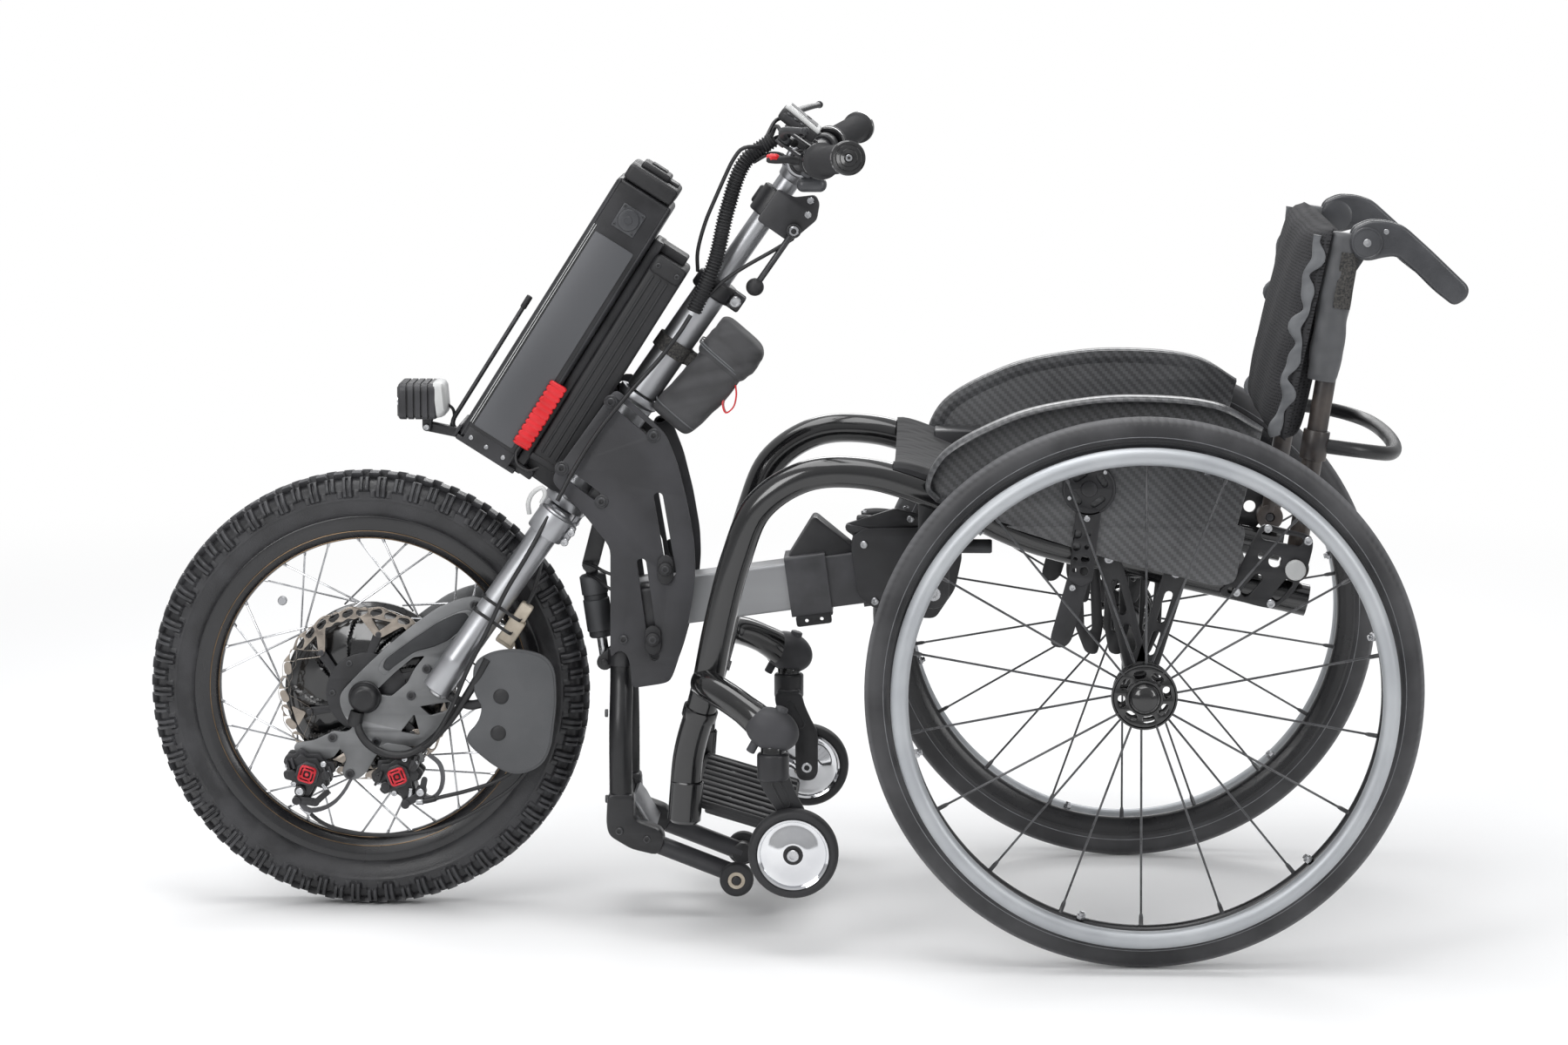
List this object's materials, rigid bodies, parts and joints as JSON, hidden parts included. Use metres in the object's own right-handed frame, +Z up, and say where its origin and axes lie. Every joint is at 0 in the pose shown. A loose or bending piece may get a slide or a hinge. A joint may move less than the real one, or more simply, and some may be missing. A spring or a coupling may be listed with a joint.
{
  "type": "handcycle",
  "caption": "Three-wheeled wheelchair handcycle: a powered front wheel with handlebar and battery docked to a rigid chair.",
  "frame": {"origin": "on the floor under the centre of the whole vehicle's bounding box", "axes": "+X towards the rear, so the front wheel is at -X; +Y to the vehicle's side away from the camera; +Z up"},
  "size_m": [1.456, 0.6424, 0.9008],
  "materials": {
    "tyre": "knobby or smooth black tyre rubber",
    "rubber": "matt soft rubber",
    "anodised": "black anodised, satin",
    "black_paint": "glossy black powder coat",
    "side_plate": "satin near-black coat",
    "grey_alloy": "silver-grey satin alloy",
    "dark_alloy": "dark anodised alloy",
    "steel": "bright ground steel",
    "silver_rim": "light silver anodised tube",
    "chrome": "polished alloy castor wheel",
    "black_plastic": "moulded black plastic, fine grain",
    "grey_plastic": "dark grey moulded plastic",
    "red_plastic": "red moulded plastic",
    "carbon": "lacquered twill laminate",
    "fabric": "woven black polyester"
  },
  "bodies": {
    "chassis": {"head_tube": "grey_alloy", "side_plate_left": "side_plate", "side_plate_right": "side_plate", "docking_beam": "grey_alloy", "beam_bracket": "anodised", "dock_receiver": "anodised", "battery_case": "anodised", "battery_cap": "black_plastic", "battery_tray": "anodised", "controller_box": "black_paint", "side_cable": "black_plastic", "chair_frame": "black_paint", "footplate": "black_plastic", "seat_sling": "fabric", "side_guard_left": "carbon", "side_guard_right": "carbon"},
    "steering": {"fork": "grey_alloy", "dropout_plate_left": "grey_alloy", "dropout_plate_right": "grey_alloy", "front_axle": "anodised", "caliper_front": "anodised", "caliper_rear": "anodised", "motor_guard": "grey_plastic", "stem": "grey_alloy", "handlebar": "anodised", "grip_left": "rubber", "grip_right": "rubber", "display": "black_plastic", "release_bracket": "anodised", "cable_loom": "black_plastic", "fork_cable": "black_plastic", "tool_bag": "fabric"},
    "front_wheel": {"front_tyre": "tyre", "front_rim": "anodised", "hub_motor": "black_paint", "brake_rotor": "steel"},
    "brake_lever_left_arm": {"brake_lever_left": "steel"},
    "brake_lever_right_arm": {"brake_lever_right": "steel"},
    "throttle": {"throttle_lever": "red_plastic"},
    "release_arm": {"release_lever": "black_plastic"},
    "headlamp": {"headlight": "anodised"},
    "stand": {"stand_frame": "black_paint"},
    "stand_roller_left_wheel": {"stand_roller_left": "rubber"},
    "stand_roller_right_wheel": {"stand_roller_right": "rubber"},
    "drive_body": {"actuator_body": "dark_alloy"},
    "drive_rod": {"actuator_rod": "steel"},
    "castor_swivel_left": {"castor_fork_left": "anodised"},
    "castor_swivel_right": {"castor_fork_right": "anodised"},
    "castor_roll_left": {"castor_wheel_left": "chrome"},
    "castor_roll_right": {"castor_wheel_right": "chrome"},
    "backrest": {"back_frame": "dark_alloy", "back_upholstery": "fabric"},
    "handle_left": {"push_handle_left": "grey_plastic"},
    "handle_right": {"push_handle_right": "grey_plastic"},
    "rear_wheel_left_body": {"rear_tyre_left": "tyre", "rear_wheel_left": "anodised", "pushrim_left": "silver_rim"},
    "rear_wheel_right_body": {"rear_tyre_right": "tyre", "rear_wheel_right": "anodised", "pushrim_right": "dark_alloy"}
  },
  "joints": [
    {"name": "steering_turn", "type": "hinge", "parent": "chassis", "child": "steering", "pos_m": [-0.25777, 0, 0.4636], "axis": [0.5707, 0, 0.8211], "range_deg": [-30, 30]},
    {"name": "front_wheel_spin", "type": "hinge", "parent": "steering", "child": "front_wheel", "pos_m": [-0.48127, 0, 0.249], "axis": [0, 1, 0], "continuous": true},
    {"name": "brake_lever_left_pull", "type": "hinge", "parent": "steering", "child": "brake_lever_left_arm", "pos_m": [-0.00583, -0.13514, 0.87886], "axis": [0.5707, 0, 0.8211], "range_deg": [0, 13], "stiffness_Nm_per_rad": 0.6, "springref_deg": -17.19},
    {"name": "brake_lever_right_pull", "type": "hinge", "parent": "steering", "child": "brake_lever_right_arm", "pos_m": [-0.00583, 0.13514, 0.87886], "axis": [-0.5707, 0, -0.8211], "range_deg": [0, 13], "stiffness_Nm_per_rad": 0.6, "springref_deg": -17.19},
    {"name": "throttle_press", "type": "hinge", "parent": "steering", "child": "throttle", "pos_m": [0.02319, -0.11392, 0.85292], "axis": [0.2482, -0.9646, 0.0898], "range_deg": [0, 25], "stiffness_Nm_per_rad": 0.15, "springref_deg": -17.19},
    {"name": "release_lever_swing", "type": "hinge", "parent": "steering", "child": "release_arm", "pos_m": [0.00007, -0.0343, 0.77151], "axis": [0, -1, 0], "range_deg": [0, 70]},
    {"name": "headlight_tilt", "type": "hinge", "parent": "chassis", "child": "headlamp", "pos_m": [-0.41327, 0, 0.548], "axis": [0, 1, 0], "range_deg": [-10, 10]},
    {"name": "stand_swing", "type": "hinge", "parent": "chassis", "child": "stand", "pos_m": [-0.19327, 0, 0.3], "axis": [0, 1, 0], "range_deg": [0, 17]},
    {"name": "stand_roller_left_roll", "type": "hinge", "parent": "stand", "child": "stand_roller_left_wheel", "pos_m": [-0.06227, -0.0818, 0.048], "axis": [0, 1, 0], "continuous": true},
    {"name": "stand_roller_right_roll", "type": "hinge", "parent": "stand", "child": "stand_roller_right_wheel", "pos_m": [-0.06227, 0.0818, 0.048], "axis": [0, 1, 0], "continuous": true},
    {"name": "drive_tilt", "type": "hinge", "parent": "chassis", "child": "drive_body", "pos_m": [-0.22927, -0.016, 0.395], "axis": [0, 1, 0], "range_deg": [0, 1.7]},
    {"name": "drive_rod_slide", "type": "slide", "parent": "drive_body", "child": "drive_rod", "axis": [-0.1427, 0, 0.9898], "range_m": [0, 0.0075]},
    {"name": "castor_swivel_left_turn", "type": "hinge", "parent": "chassis", "child": "castor_swivel_left", "pos_m": [-0.01527, -0.242, 0.3], "axis": [0, 0, 1], "continuous": true},
    {"name": "castor_wheel_left_roll", "type": "hinge", "parent": "castor_swivel_left", "child": "castor_roll_left", "pos_m": [0.00673, -0.242, 0.114], "axis": [0, 1, 0], "continuous": true},
    {"name": "castor_swivel_right_turn", "type": "hinge", "parent": "chassis", "child": "castor_swivel_right", "pos_m": [-0.01527, 0.242, 0.3], "axis": [0, 0, 1], "continuous": true},
    {"name": "castor_wheel_right_roll", "type": "hinge", "parent": "castor_swivel_right", "child": "castor_roll_right", "pos_m": [0.00673, 0.242, 0.114], "axis": [0, 1, 0], "continuous": true},
    {"name": "backrest_fold", "type": "hinge", "parent": "chassis", "child": "backrest", "pos_m": [0.54573, 0, 0.423], "axis": [0, -1, 0], "range_deg": [0, 60]},
    {"name": "push_handle_left_fold", "type": "hinge", "parent": "backrest", "child": "handle_left", "pos_m": [0.61673, -0.19, 0.774], "axis": [0, 1, 0], "range_deg": [0, 55]},
    {"name": "push_handle_right_fold", "type": "hinge", "parent": "backrest", "child": "handle_right", "pos_m": [0.61673, 0.19, 0.774], "axis": [0, 1, 0], "range_deg": [0, 55]},
    {"name": "rear_wheel_left_spin", "type": "hinge", "parent": "chassis", "child": "rear_wheel_left_body", "pos_m": [0.38153, -0.278, 0.298], "axis": [0, 1, 0], "continuous": true},
    {"name": "rear_wheel_right_spin", "type": "hinge", "parent": "chassis", "child": "rear_wheel_right_body", "pos_m": [0.38153, 0.278, 0.298], "axis": [0, 1, 0], "continuous": true}
  ],
  "couplings": [
    {"joint": "drive_tilt", "follows": "stand_swing", "ratio": 0.09065},
    {"joint": "drive_rod_slide", "follows": "stand_swing", "m_per_rad": 0.02339}
  ]
}
